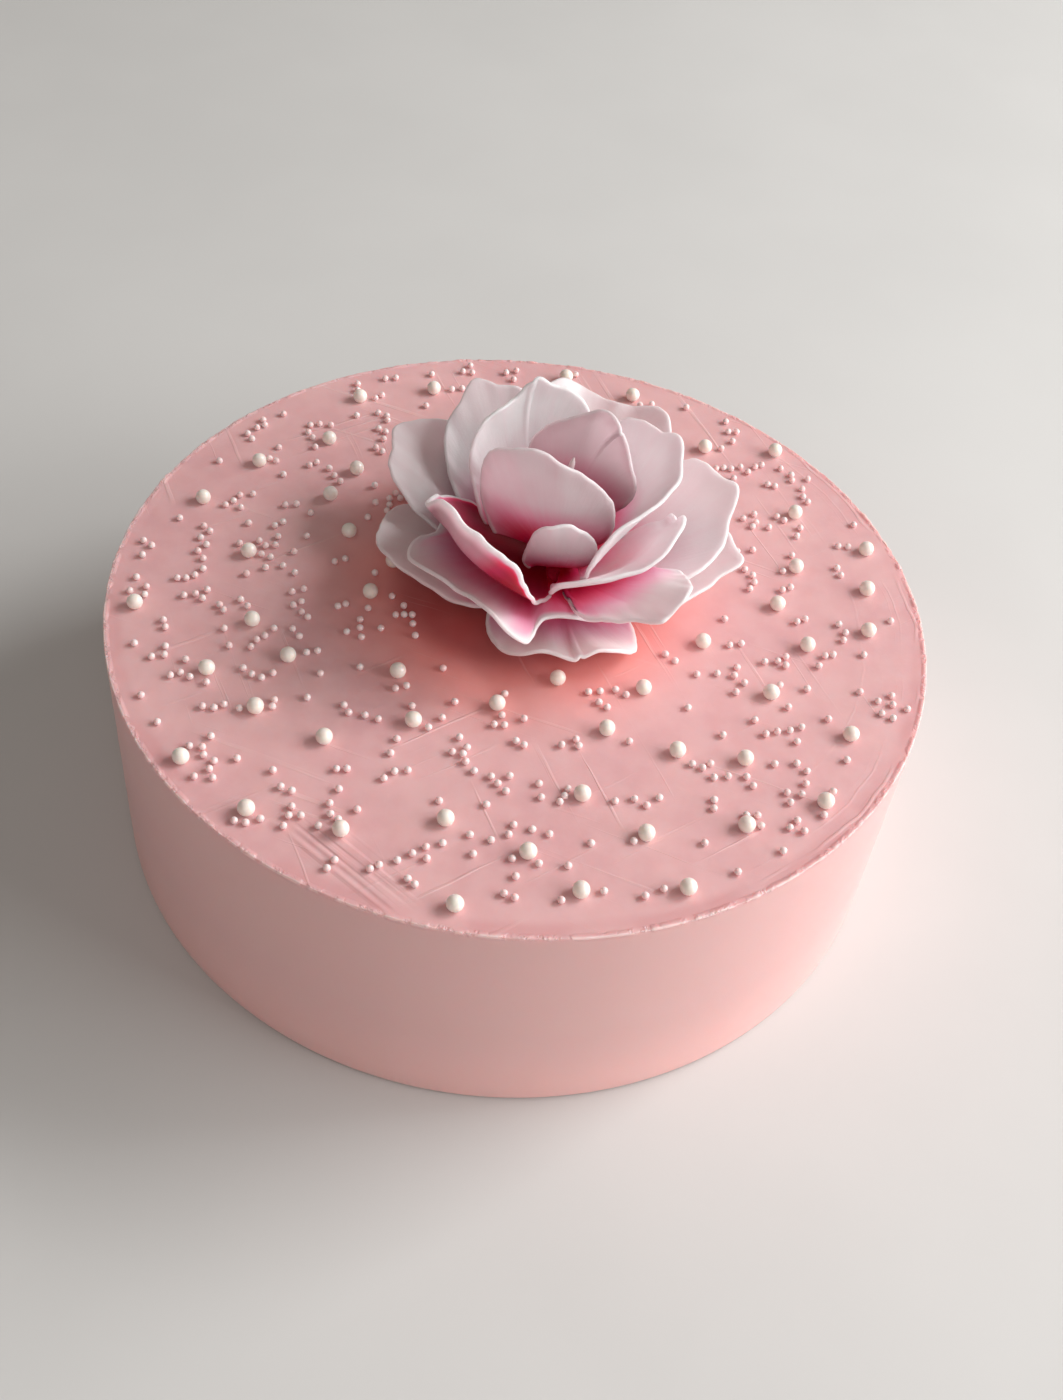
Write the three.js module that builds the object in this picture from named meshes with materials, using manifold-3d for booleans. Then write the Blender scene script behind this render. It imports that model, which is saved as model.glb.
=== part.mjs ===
// A round frosted layer cake, whole and uncut, with an open sugar flower and sugar pearls on its top.
// Millimetres, +Z up, origin at the middle of the base. The flower faces the front, which is -Y.
import * as THREE from 'three';
import { mergeVertices } from 'three/addons/utils/BufferGeometryUtils.js';
import Module from 'manifold-3d';

const wasm = await Module();
wasm.setup();

// Cake
const cakeRadius = 130;
const cakeHeight = 85;
const topEdge = 1.6;        // softened edge where the icing was levelled
const footEdge = 1.2;
const cakeSides = 72;

// Flower
const flowerX = 9;
const flowerY = 15;
const petalThickness = 1.2;
const heartTop = 15.4;      // height of the dome in the flower's middle
const stamenRadius = 0.8;
const clearance = 0.35;     // gap left between pieces that lie against each other
const joinReach = 0.2;      // corners left nearer together than this by a cut are made one
const fanHalfAngle = THREE.MathUtils.degToRad(128);
const clawHalfWidth = 5;
const scallopTurns = 4.2;   // bulges round the outline, for each radian of the fan
const gutterFoot = 6;       // round bottom of a petal's channel
const foldWidth = 0.12;     // share of the fan's half that a crease takes
const rollFrom = 0.7;       // share of the length where the rolled rim starts
const acrossSteps = 11;
const alongSteps = [0, 0.3, 0.55, 0.75, 0.9, 1];

// Pearls
const largePearl = 2.5;     // radii
const smallPearl = 1.15;
const largeCount = 60;
const clusterCount = 70;
const pearlField = 123;     // how far out the large pearls and the middles of the clusters lie
const pearlLimit = 126;     // no pearl lies further out than this
const flowerField = 49;     // nor nearer to the flower's middle
const sunkShare = 0.22;     // share of the radius pressed into the icing

const icingColour = 0xd9a3a2;
const petalColour = 0xe9cdd3;
const heartColour = 0xb01a48;
const stamenColour = 0xf0dcdc;

// Each petal is a fan of sugar paste, width by length when laid flat. Its claw starts out and up from the
// middle of the flower's foot, and turn says which way it points: 0 is the front, 90 is +X.
// rise: its angles above the level at the claw, half way and at the rim. cupRadius: how it is bent across.
// lean: how far the rim goes to one side. tilt: that side lifted. gutter: a channel along it, at gutterAt.
// fold: a crease that deepens to the rim, and where. curl: the left and right edges lifted. lip: the rim
// rolled down. dip: a dent in the rim, or a point if negative, where and how wide. scallop: its uneven
// outline and phase. wave: the ruffle's size, number and phase. belly: the middle raised. span: how much there
// is of the left and the right half, 1 if not given.
const petals = [
  { name: 'petal_outer_back_left', turn: 215, out: 9, up: 3, length: 48, width: 50, rise: [4, 27, 15],
    cupRadius: 88, tilt: 0.06, scallop: [0.03, 0], curl: [0, 1], wave: [1.5, 3, 2] },
  { name: 'petal_outer_back', turn: 168, out: 9, up: 3.7, length: 62, width: 56, rise: [9, 39, 3],
    cupRadius: 40, gutter: 0.27, gutterAt: 0.03, tilt: 0.06, dip: [0.07, -0.04, 0.18],
    fold: [0.9, -0.04], scallop: [0.072, -1], curl: [-2.6, 0.4], wave: [1.2, 3, 2] },
  { name: 'petal_outer_right', turn: 76, out: 9, up: 2.5, length: 49, width: 52, rise: [4, 37, 24],
    cupRadius: 165, lean: 0.11, tilt: -0.055, dip: [-0.16, -0.02, 0.076], fold: [-1.1, -0.02],
    scallop: [0.028, 0.8], wave: [1, 3, 0] },
  { name: 'petal_outer_left', turn: -81, out: 9, up: 1.8, length: 51, width: 44, rise: [-1, 35, 13],
    cupRadius: 127, tilt: 0.1, dip: [0.05, 0, 0.16], fold: [0.3, 0], scallop: [0.048, 0],
    curl: [-0.4, -1.3], wave: [1.2, 2.5, 1] },
  { name: 'petal_outer_front', turn: 7, out: 9, up: 2.6, length: 43, width: 47, rise: [-1, 8, 41],
    cupRadius: -103, gutter: -0.07, gutterAt: -0.08, lean: 0.07, tilt: 0.03, fold: [-3.7, 0],
    scallop: [0.028, -1.5], curl: [-0.5, -1], wave: [0.8, 3, 0.5] },
  { name: 'petal_second_right', turn: 88, out: 8, up: 5, length: 51, width: 59, rise: [7, 43, 28],
    cupRadius: 50, gutter: 0.14, lean: 0.12, tilt: 0.1, dip: [-0.17, 0.07, 0.08],
    scallop: [0.021, -1.1], wave: [1.2, 3, 1] },
  { name: 'petal_second_left', turn: -115, out: 8, up: 5, length: 57, width: 43, rise: [10, 35, 17],
    cupRadius: 45, gutter: 0.03, lean: -0.05, tilt: -0.045, dip: [-0.14, -0.04, 0.12],
    fold: [0.25, -0.04], scallop: [0.046, -2], curl: [4.5, 2.1], wave: [0.8, 3, 0] },
  { name: 'petal_second_back', turn: 168, out: 7.6, up: 6.3, length: 42.8, width: 41,
    rise: [15, 34, 43], cupRadius: 30.6, lean: -0.06, tilt: 0.14, dip: [0.05, 0.11, 0.16],
    fold: [0.8, 0.11], scallop: [0.05, 1], wave: [0.8, 3, 1] },
  { name: 'petal_second_front_left', turn: -45, out: 8.5, up: 6.2, length: 50, width: 61,
    rise: [28, 1, 46], cupRadius: -125, gutter: 0.45, gutterAt: -0.44, lean: 0.29, tilt: -0.26,
    dip: [-0.2, 1, 0.14], fold: [-5.4, 1], scallop: [0.18, -1.7], curl: [6.1, 14.1], lip: 2,
    wave: [0.5, 3, 0] },
  { name: 'petal_second_front_right', turn: 40, out: 8.5, up: 7.3, length: 61, width: 32.5,
    rise: [16, 45, 39], cupRadius: 260, gutter: -0.1, lean: -0.07, tilt: 0.17,
    dip: [-0.13, -0.21, 0.07], fold: [-2, -0.21], scallop: [0.078, 1.2], curl: [3.2, 0.6], lip: 2,
    wave: [0.5, 3, 0] },
  { name: 'petal_third_left', turn: -138, out: 6.5, up: 8.1, length: 53.5, width: 39, rise: [8, 51, 30],
    cupRadius: 37, gutter: -0.02, lean: -0.11, tilt: -0.3, dip: [-0.19, 0.01, 0.11], fold: [0.7, 0.01],
    scallop: [0.046, -1.4], curl: [0, -0.8], wave: [0.6, 3, 0] },
  { name: 'petal_third_front_left', turn: -54, out: 7, up: 9.5, length: 60.5, width: 55,
    rise: [12, 41, 82], cupRadius: 56, gutter: -0.03, lean: 0.34, tilt: -0.05, dip: [-0.13, -0.22, 0.1],
    fold: [1.9, -0.22], scallop: [0.03, -2.8], curl: [2.2, 0.2], wave: [0.3, 3, 0] },
  { name: 'petal_third_front_right', turn: 46, out: 7, up: 9, length: 45.5, width: 55,
    rise: [13, 49, 68], cupRadius: 36, gutter: 0.09, gutterAt: -0.06, lean: 0.07, tilt: 0.07,
    dip: [0.06, 0, 0.16], fold: [-0.3, 0], scallop: [0.098, 0.15], curl: [3.8, 1.1], lip: 4,
    wave: [0.3, 3, 0], span: [0.72, 1] },
  { name: 'petal_third_right', turn: 92, out: 6.5, up: 10.3, length: 45, width: 68, rise: [31, 65, 53],
    cupRadius: 40, gutter: 0.19, gutterAt: -0.03, lean: 0.07, tilt: -0.12, dip: [-0.16, 0.1, 0.067],
    fold: [0.5, 0.1], curl: [3, -0.5], belly: 2, wave: [0.6, 3, 0] },
  { name: 'petal_inner_back_left', turn: -149, out: 5, up: 12.8, length: 49, width: 46,
    rise: [27, 55, 97], cupRadius: 50, gutter: 0.2, lean: -0.05, tilt: -0.05, dip: [-0.18, -0.01, 0.08],
    fold: [-0.8, -0.01], scallop: [-0.073, 0.75], curl: [0, -3.8], wave: [0.6, 3, 0] },
  { name: 'petal_inner_back_right', turn: 163, out: 4, up: 14.6, claw: 3, length: 44, width: 36,
    rise: [39, 78, 101], cupRadius: 32, gutter: 0.13, lean: -0.19, tilt: -0.19,
    dip: [-0.065, 0.05, 0.15], fold: [-1.3, 0.05], scallop: [0.077, 2.15], curl: [-1.2, 0.7],
    wave: [0.6, 3, 0] },
  { name: 'petal_inner_small', turn: 5, out: 9, up: 11.4, claw: 4, length: 35.6, width: 22.2,
    rise: [27.6, 76.8, 75.4], cupRadius: 28, gutter: -0.2, lean: -0.044, tilt: -0.06,
    dip: [-0.08, 0.08, 0.13], fold: [0.5, 0.08], scallop: [0.06, -2.3], curl: [-1.3, 1],
    wave: [0.3, 3, 0] },
  { name: 'petal_inner_front', turn: -17, out: 5, up: 12, claw: 3, length: 53.7, width: 42.8,
    rise: [61, 64.5, 85.4], cupRadius: 36, gutter: 0.215, lean: -0.095, tilt: 0.158,
    dip: [-0.06, 0.08, 0.11], fold: [1.5, 0.08], scallop: [-0.01, 0], curl: [-4.2, 2.7],
    wave: [0.6, 3, 0] },
];

function ease(x, from, to) {
  const t = Math.min(Math.max((x - from) / (to - from), 0), 1);
  return t * t * (3 - 2 * t);
}

// The petal's middle line, stepped out from the claw: distance from the flower's axis, height and slope
function middleLine(petal) {
  const steps = 120;
  const spare = 1.3;        // the line runs on past the rim's middle
  const reach = spare * petal.length;
  const [claw, half, rim] = petal.rise.map(THREE.MathUtils.degToRad);
  const line = [];
  let radius = petal.out;
  let height = petal.up;
  let before;
  for (let i = 0; i <= steps; i++) {
    const q = (i / steps) * spare;
    const slope = (1 - q) ** 2 * claw + 2 * q * (1 - q) * half + q * q * rim;
    if (i > 0) {
      radius += (Math.cos(slope) + Math.cos(before)) / 2 * reach / steps;
      height += (Math.sin(slope) + Math.sin(before)) / 2 * reach / steps;
    }
    before = slope;
    line.push([radius, height, slope]);
  }
  return (y) => {
    const at = Math.min(Math.max(y / reach, 0), 1) * steps;
    const low = Math.min(Math.floor(at), steps - 1);
    return line[low].map((value, k) => value + (line[low + 1][k] - value) * (at - low));
  };
}

// A point of the petal's middle surface: s from -1 to 1 across the fan, t from 0 at the claw to 1 at the rim.
// The flat fan point (x, y) goes y along the middle line, x across the cup, and lift off that surface.
function petalPoint(petal, line, s, t) {
  const { length, width } = petal;
  const [dip, dipAt, dipWidth] = petal.dip ?? [0, 0, 1];
  const [scallop, scallopPhase] = petal.scallop ?? [0, 0];
  const [fold, foldAt] = petal.fold ?? [0, 0];
  const [curlLeft, curlRight] = petal.curl ?? [0, 0];
  const [wave, waves, wavePhase] = petal.wave;
  const tau = s * fanHalfAngle;
  const edge = 1 + scallop * Math.sin(scallopTurns * tau + scallopPhase)
    - dip * Math.exp(-(((s - dipAt) / dipWidth) ** 2));
  let x = (petal.claw ?? clawHalfWidth) * s * (1 - t) + width / 2 * Math.sin(tau) * edge * t;
  const y = length / 2 * (1 + Math.cos(tau) * edge) * t;
  const q = y / length;
  x += (petal.lean ?? 0) * q * q * length;
  const [radius, height, slope] = line(y);
  const bend = (0.35 + 0.65 * q) / petal.cupRadius;
  const g = Math.min(Math.max(q, 0), 1);
  const gutter = (petal.gutter ?? 0) * g;
  const fromGutter = x - (petal.gutterAt ?? 0) * width / 2 * q;
  const side = Math.sin(bend * x) / bend / Math.sqrt(1 + 0.8 * gutter * gutter);
  const lift = (1 - Math.cos(bend * x)) / bend
    + gutter * (Math.hypot(fromGutter, gutterFoot) - gutterFoot)
    + (s < 0 ? curlLeft : curlRight) * Math.abs(s) ** 3 * t * t
    + wave * t ** 4 * Math.sin(waves * tau + wavePhase)
    - (petal.lip ?? 0) * ease(t, rollFrom, 1) ** 1.3
    + (petal.tilt ?? 0) * x * q
    + fold * t * t * Math.exp(-(((s - foldAt) / foldWidth) ** 2))
    + (petal.belly ?? 0) * 4 * t * (1 - t);
  const outward = radius - lift * Math.sin(slope);
  const turn = THREE.MathUtils.degToRad(petal.turn);
  return new THREE.Vector3(
    flowerX + outward * Math.sin(turn) + side * Math.cos(turn),
    flowerY - outward * Math.cos(turn) + side * Math.sin(turn),
    cakeHeight + height + lift * Math.cos(slope));
}

// A thin solid round the petal's middle surface, both faces split into triangles alike. With a margin it is
// that much larger all round, which is the room that the petal keeps free.
function petalGeometry(petal, margin = 0) {
  const line = middleLine(petal);
  const [spanLeft, spanRight] = petal.span ?? [1, 1];
  const columns = acrossSteps;
  const rows = alongSteps.length - 1;
  const nudge = 0.01;
  const positions = [[], []];
  for (let j = 0; j <= rows; j++) {
    for (let i = 0; i <= columns; i++) {
      const s = (spanLeft + spanRight) * i / columns - spanLeft;
      const t = alongSteps[j];
      const point = (ds, dt) => petalPoint(petal, line, s + ds, t + dt);
      const alongS = point(nudge, 0).sub(point(-nudge, 0)).normalize();
      const alongT = point(0, nudge).sub(point(0, -nudge)).normalize();
      const at = point(0, 0);
      if (i === 0) at.addScaledVector(alongS, -margin);
      if (i === columns) at.addScaledVector(alongS, margin);
      if (j === 0) at.addScaledVector(alongT, -margin);
      if (j === rows) at.addScaledVector(alongT, margin);
      const normal = alongS.cross(alongT).normalize().multiplyScalar(petalThickness / 2 + margin);
      positions[0].push(...at.clone().add(normal));
      positions[1].push(...at.clone().sub(normal));
    }
  }
  const perFace = (rows + 1) * (columns + 1);
  const index = [];
  for (let j = 0; j < rows; j++) {
    for (let i = 0; i < columns; i++) {
      const a = j * (columns + 1) + i;
      const b = a + 1;
      const c = b + columns + 1;
      const d = a + columns + 1;
      index.push(a, b, c, a, c, d);
      index.push(perFace + a, perFace + c, perFace + b, perFace + a, perFace + d, perFace + c);
    }
  }
  const outline = [];
  for (let i = 0; i < columns; i++) outline.push(i);
  for (let j = 0; j < rows; j++) outline.push(j * (columns + 1) + columns);
  for (let i = columns; i > 0; i--) outline.push(rows * (columns + 1) + i);
  for (let j = rows; j > 0; j--) outline.push(j * (columns + 1));
  outline.forEach((a, k) => {
    const b = outline[(k + 1) % outline.length];
    index.push(b, a, perFace + a, b, perFace + a, perFace + b);
  });
  const geometry = new THREE.BufferGeometry();
  geometry.setAttribute('position', new THREE.Float32BufferAttribute(positions.flat(), 3));
  geometry.setIndex(index);
  return geometry;
}

// Turns a closed geometry into a solid for cutting and joining, and back
function toSolid(geometry) {
  const bare = geometry.clone();
  bare.deleteAttribute('normal');
  bare.deleteAttribute('uv');
  const merged = mergeVertices(bare, 1e-4);
  return new wasm.Manifold(new wasm.Mesh({
    numProp: 3,
    vertProperties: new Float32Array(merged.attributes.position.array),
    triVerts: new Uint32Array(merged.index.array),
  }));
}

function toGeometry(solid) {
  const mesh = solid.getMesh();
  const geometry = new THREE.BufferGeometry();
  geometry.setAttribute('position', new THREE.Float32BufferAttribute(mesh.vertProperties, 3));
  geometry.setIndex([...mesh.triVerts]);
  geometry.computeVertexNormals();
  return geometry;
}

function largestPiece(solid) {
  return solid.decompose().sort((a, b) => b.volume() - a.volume())[0];
}

// The same solid without slivers: corners nearer together than joinReach become one, triangles that lose a
// corner by it go, and so do two that fall on each other. The largest piece is kept.
function withoutSlivers(solid) {
  const { vertProperties, triVerts } = solid.getMesh();
  const corners = [];
  for (let i = 0; i < vertProperties.length; i += 3) corners.push(new THREE.Vector3().fromArray(vertProperties, i));
  const stands = [];        // for each corner, the number of the one that stands for it
  corners.forEach((corner, i) => {
    const near = corners.findIndex((other, j) => stands[j] === j && corner.distanceTo(other) < joinReach);
    stands.push(near < 0 ? i : near);
  });
  const kept = new Map();
  for (let t = 0; t < triVerts.length; t += 3) {
    const triangle = [...triVerts.subarray(t, t + 3)].map((i) => stands[i]);
    if (new Set(triangle).size < 3) continue;
    const key = [...triangle].sort((a, b) => a - b).join();
    if (!kept.delete(key)) kept.set(key, triangle);
  }
  const geometry = new THREE.BufferGeometry();
  geometry.setAttribute('position', new THREE.BufferAttribute(vertProperties, 3));
  geometry.setIndex([...kept.values()].flat());
  return largestPiece(toSolid(geometry));
}

// A profile of [radius, height] points turned about the vertical axis
function turned(profile, sides) {
  const points = profile.map(([radius, height]) => new THREE.Vector2(radius, height));
  return new THREE.LatheGeometry(points, sides).rotateX(Math.PI / 2);
}

// The petals are set in order, lower and outer ones first. Each is trimmed where it would touch one
// set before it.
function setPetals() {
  const taken = [];
  return petals.map((petal) => {
    let solid = toSolid(petalGeometry(petal));
    for (const room of taken) solid = solid.subtract(room);
    taken.push(toSolid(petalGeometry(petal, clearance)));
    return withoutSlivers(largestPiece(solid));
  });
}

// The dome of paste that carries the petals, narrower at each whorl, trimmed clear of their claws
function heartSolid() {
  const profile = [[0, clearance], [8, clearance], [8, 3], [7.2, 6], [5.8, 9.3], [4, 12.3], [1.9, 14.6],
    [0, heartTop]];
  let solid = toSolid(turned(profile, 20).translate(flowerX, flowerY, cakeHeight));
  for (const petal of petals) {
    solid = solid.subtract(toSolid(petalGeometry(petal, clearance)));
  }
  return withoutSlivers(largestPiece(solid));
}

// One thread of paste that stands up from the heart and ends in a blunt tip
function stamenGeometry() {
  const route = new THREE.CatmullRomCurve3([
    new THREE.Vector3(0, 0, heartTop + 0.5),
    new THREE.Vector3(0.2, 0.5, 24),
    new THREE.Vector3(0.9, 1.6, 34),
    new THREE.Vector3(2.4, 3, 44),
  ]);
  const section = new THREE.Shape().absarc(0, 0, stamenRadius, 0, 2 * Math.PI);
  const shape = { extrudePath: route, steps: 8, curveSegments: 8, bevelEnabled: false };
  return new THREE.ExtrudeGeometry(section, shape).translate(flowerX, flowerY, cakeHeight);
}

// A whole number generator, so that the scatter is the same every time
function seededDraws(seed) {
  let state = seed;
  return () => {
    state = (state * 16807) % 2147483647;
    return state / 2147483647;
  };
}

// The next place of an even scatter: the best of several tries, the one furthest from those already taken
function nextPlace(taken, tries, draw) {
  let best = null;
  let bestGap = -1;
  while (best === null) {
    for (let k = 0; k < tries; k++) {
      const radius = pearlField * Math.sqrt(draw());
      const angle = 2 * Math.PI * draw();
      const spot = [radius * Math.cos(angle), radius * Math.sin(angle)];
      const gap = Math.min(2 * cakeRadius, ...taken.map(([x, y]) => Math.hypot(x - spot[0], y - spot[1])));
      const clearOfFlower = Math.hypot(spot[0] - flowerX, spot[1] - flowerY) > flowerField;
      if (clearOfFlower && gap > bestGap) {
        bestGap = gap;
        best = spot;
      }
    }
  }
  return best;
}

// Large pearls first, then small ones in clusters of one to five, mostly few
function scatterPearls() {
  const draw = seededDraws(20);
  const large = [];
  while (large.length < largeCount) large.push(nextPlace(large, 14, draw));
  const small = [];
  const middles = [];
  for (let n = 0; n < clusterCount; n++) {
    const middle = nextPlace(middles, 6, draw);
    middles.push(middle);
    const members = 1 + Math.floor(5 * draw() ** 1.8);
    for (let k = 0; k < members; k++) {
      const angle = 2 * Math.PI * draw();
      const reach = smallPearl * (2.2 + 1.4 * draw()) * Math.sqrt(k);
      const spot = [middle[0] + reach * Math.cos(angle), middle[1] + reach * Math.sin(angle)];
      const distance = ([x, y]) => Math.hypot(x - spot[0], y - spot[1]);
      const free = small.every((other) => distance(other) > 2.1 * smallPearl)
        && large.every((other) => distance(other) > largePearl + 1.3 * smallPearl);
      if (free && Math.hypot(...spot) < pearlLimit) small.push(spot);
    }
  }
  return { large, small };
}

// A ball pressed a little into the icing: the facets end below the top face
function pearlSolid([x, y], radius, profile, sides) {
  const rings = profile.map(([across, up]) => [across * radius, up * radius]);
  const middle = cakeHeight + radius * (1 - sunkShare);
  return toSolid(turned(rings, sides).translate(x, y, middle));
}

function cakeSolid() {
  const profile = [
    [0, 0],
    [cakeRadius - footEdge, 0],
    [cakeRadius, footEdge],
    [cakeRadius, cakeHeight - topEdge],
    [cakeRadius - topEdge * 0.3, cakeHeight - topEdge * 0.3],
    [cakeRadius - topEdge, cakeHeight],
    [0, cakeHeight],
  ];
  let solid = toSolid(turned(profile, cakeSides));
  const { large, small } = scatterPearls();
  const largeProfile = [[0, -0.95], [0.55, -0.84], [1, 0.02], [0.72, 0.7], [0, 1]];
  const smallProfile = [[0, -0.95], [0.6, -0.84], [1, 0.1], [0, 1]];
  for (const spot of large) solid = solid.add(pearlSolid(spot, largePearl, largeProfile, 7));
  for (const spot of small) solid = solid.add(pearlSolid(spot, smallPearl, smallProfile, 5));
  return solid;
}

const icing = new THREE.MeshStandardMaterial({ color: icingColour, roughness: 0.55, metalness: 0 });
const paste = new THREE.MeshStandardMaterial({ color: petalColour, roughness: 0.5, metalness: 0 });
const heartPaste = new THREE.MeshStandardMaterial({ color: heartColour, roughness: 0.55, metalness: 0 });
const stamenPaste = new THREE.MeshStandardMaterial({ color: stamenColour, roughness: 0.5, metalness: 0 });

const group = new THREE.Group();

function addPiece(name, geometry, material) {
  const mesh = new THREE.Mesh(geometry, material);
  mesh.name = name;
  group.add(mesh);
}

addPiece('cake', toGeometry(cakeSolid()), icing);
setPetals().forEach((solid, i) => addPiece(petals[i].name, toGeometry(solid), paste));
addPiece('flower_heart', toGeometry(heartSolid()), heartPaste);
addPiece('stamen', stamenGeometry(), stamenPaste);

export default group;
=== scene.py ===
import math

import bpy
import numpy as np
from mathutils import Matrix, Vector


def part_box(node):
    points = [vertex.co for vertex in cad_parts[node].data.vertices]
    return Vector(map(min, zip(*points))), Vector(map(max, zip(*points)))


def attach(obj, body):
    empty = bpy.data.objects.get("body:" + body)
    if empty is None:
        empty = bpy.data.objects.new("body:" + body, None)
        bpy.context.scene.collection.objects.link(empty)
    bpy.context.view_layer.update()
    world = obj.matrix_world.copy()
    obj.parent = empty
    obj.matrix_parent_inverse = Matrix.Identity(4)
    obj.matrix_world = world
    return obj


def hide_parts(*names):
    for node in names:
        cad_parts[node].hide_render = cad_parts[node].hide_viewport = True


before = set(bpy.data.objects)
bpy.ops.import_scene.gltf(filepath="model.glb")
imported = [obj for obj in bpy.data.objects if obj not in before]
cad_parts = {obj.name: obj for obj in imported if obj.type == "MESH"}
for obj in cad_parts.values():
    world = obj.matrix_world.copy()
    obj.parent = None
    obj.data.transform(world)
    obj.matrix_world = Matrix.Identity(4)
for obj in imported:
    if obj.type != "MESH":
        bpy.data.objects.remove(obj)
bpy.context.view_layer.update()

# A frosted cake with an open sugar flower and sugar pearls. Shapes are worked out in millimetres.
mm = 0.001
cakeLow, cakeHigh = (np.array(corner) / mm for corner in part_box("cake"))
heartLow, heartHigh = (np.array(corner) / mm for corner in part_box("flower_heart"))

pearls = dict(
    largeRadius=2.5, smallRadius=1.15, sunkShare=0.22,    # share of the radius pressed into the icing
    largeCount=60, clusterCount=230, largeTries=14, clusterTries=6,
    field=123, limit=126, flowerField=49, seed=20,
    uneven=0.03, largeSides=26, smallSides=10,
)
cake = dict(
    radius=(cakeHigh[0] - cakeLow[0]) / 2,
    height=cakeHigh[2] - pearls["largeRadius"] * (2 - pearls["sunkShare"]),
)
flower = dict(x=(heartLow[0] + heartHigh[0]) / 2, y=(heartLow[1] + heartHigh[1]) / 2)


def linear(red, green, blue):
    # A colour as a screen shows it, 0 to 255, turned into the renderer's own numbers
    return tuple(((c / 255 + 0.055) / 1.055) ** 2.4 if c > 10 else c / 255 / 12.92 for c in (red, green, blue))


def ease(x, low, high):
    # 0 below low, 1 above high, and 3w^2 - 2w^3 of the way w between them
    way = np.clip((x - low) / (high - low), 0, 1)
    return way * way * (3 - 2 * way)


# camera, floor and light
view = dict(place=(0, -370.7, 435.3), aim=(6.2, -43.2, 85), roll=6.9, focalPixels=1595.5, imagePixels=1400)


def setUp(name, data, axes, place):
    # A camera or lamp at a place in metres, with the directions of its own x, y and z axes
    matrix = np.eye(4)
    matrix[:3, :3] = np.stack(axes, 1)
    matrix[:3, 3] = place
    item = bpy.data.objects.new(name, data)
    bpy.context.scene.collection.objects.link(item)
    item.matrix_world = Matrix(matrix.tolist())
    return item


def addCamera():
    # The camera looks from place to aim, and is rolled about that line
    data = bpy.data.cameras.new("camera")
    data.sensor_width = 36
    data.lens = data.sensor_width * view["focalPixels"] / view["imagePixels"]
    data.clip_end = 50
    ahead = np.array(view["aim"]) - np.array(view["place"])
    ahead = ahead / np.linalg.norm(ahead)
    level = np.cross(ahead, (0, 0, 1))
    level = level / np.linalg.norm(level)
    upright = np.cross(level, ahead)
    roll = math.radians(view["roll"])
    right = math.cos(roll) * level + math.sin(roll) * upright
    axes = (right, np.cross(right, ahead), -ahead)
    bpy.context.scene.camera = setUp("camera", data, axes, np.array(view["place"]) * mm)


lamps = dict(
    window=dict(turn=23, rise=36, distance=2.1, size=(0.95, 0.75), power=34, tint=(1.0, 1.0, 1.0)),
    rightFill=dict(turn=-10, rise=20, distance=2.1, size=(1.4, 1.4), power=33, tint=(1.0, 1.0, 1.0)),
    frontFill=dict(turn=-90, rise=30, distance=2.1, size=(1.4, 1.4), power=7.5, tint=(1.0, 1.0, 1.0)),
    sky=dict(strength=0.21, tint=(1.04, 0.96, 0.87)),
)


def addLamp(name):
    # A soft panel that faces the cake; turn is counted from +X towards +Y, rise from the level
    spec = lamps[name]
    data = bpy.data.lights.new(name, "AREA")
    data.shape = "RECTANGLE"
    data.size, data.size_y = spec["size"]
    data.energy = spec["power"]
    data.color = spec["tint"]
    turn, rise = math.radians(spec["turn"]), math.radians(spec["rise"])
    towards = np.array((math.cos(turn) * math.cos(rise), math.sin(turn) * math.cos(rise), math.sin(rise)))
    across = np.cross((0, 0, 1), towards)
    across = across / np.linalg.norm(across)
    axes = (across, np.cross(towards, across), towards)
    setUp(name, data, axes, towards * spec["distance"] + np.array((0, 0, cake["height"] * mm)))


def addSky():
    # Dim light, a little warm, from all round
    world = bpy.data.worlds.new("sky")
    world.use_nodes = True
    background = world.node_tree.nodes["Background"]
    background.inputs["Color"].default_value = (*lamps["sky"]["tint"], 1)
    background.inputs["Strength"].default_value = lamps["sky"]["strength"]
    bpy.context.scene.world = world


addCamera()
for lampName in ("window", "rightFill", "frontFill"):
    addLamp(lampName)
addSky()
bpy.context.scene.view_settings.view_transform = "Standard"
print("camera and light are set")


# materials
def addNode(tree, kind, inputs=None, **settings):
    # One shader node; an input is a plain value or the output of another node
    node = tree.nodes.new(kind)
    for name, value in settings.items():
        setattr(node, name, value)
    for name, value in (inputs or {}).items():
        feed(tree, node.inputs[name], value)
    return node


def feed(tree, socket, value):
    # Links the output of another node to an input, or sets the input to a plain value
    if isinstance(value, bpy.types.NodeSocket):
        tree.links.new(value, socket)
    elif isinstance(value, tuple) and len(value) == 3 and socket.type == "RGBA":
        socket.default_value = (*value, 1)
    else:
        socket.default_value = value


def calc(tree, operation, first, second=0.0, clamp=False):
    # One step of arithmetic on outputs or plain values
    node = tree.nodes.new("ShaderNodeMath")
    node.operation = operation
    node.use_clamp = clamp
    feed(tree, node.inputs[0], first)
    feed(tree, node.inputs[1], second)
    return node.outputs[0]


def between(tree, value, low, high):
    # 0 to 1 while value goes smoothly from low to high, or back where low is the larger
    inputs = {"Value": value, "From Min": low, "From Max": high}
    return addNode(tree, "ShaderNodeMapRange", inputs, interpolation_type="SMOOTHSTEP").outputs[0]


def within(tree, distance, zone, start=0):
    # 0 to 1 while a distance goes through a zone (from, to), in millimetres counted from start
    return between(tree, distance, (start + zone[0]) * mm, (start + zone[1]) * mm)


def product(tree, *masks):
    # All the masks multiplied
    result = masks[0]
    for mask in masks[1:]:
        result = calc(tree, "MULTIPLY", result, mask)
    return result


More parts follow.
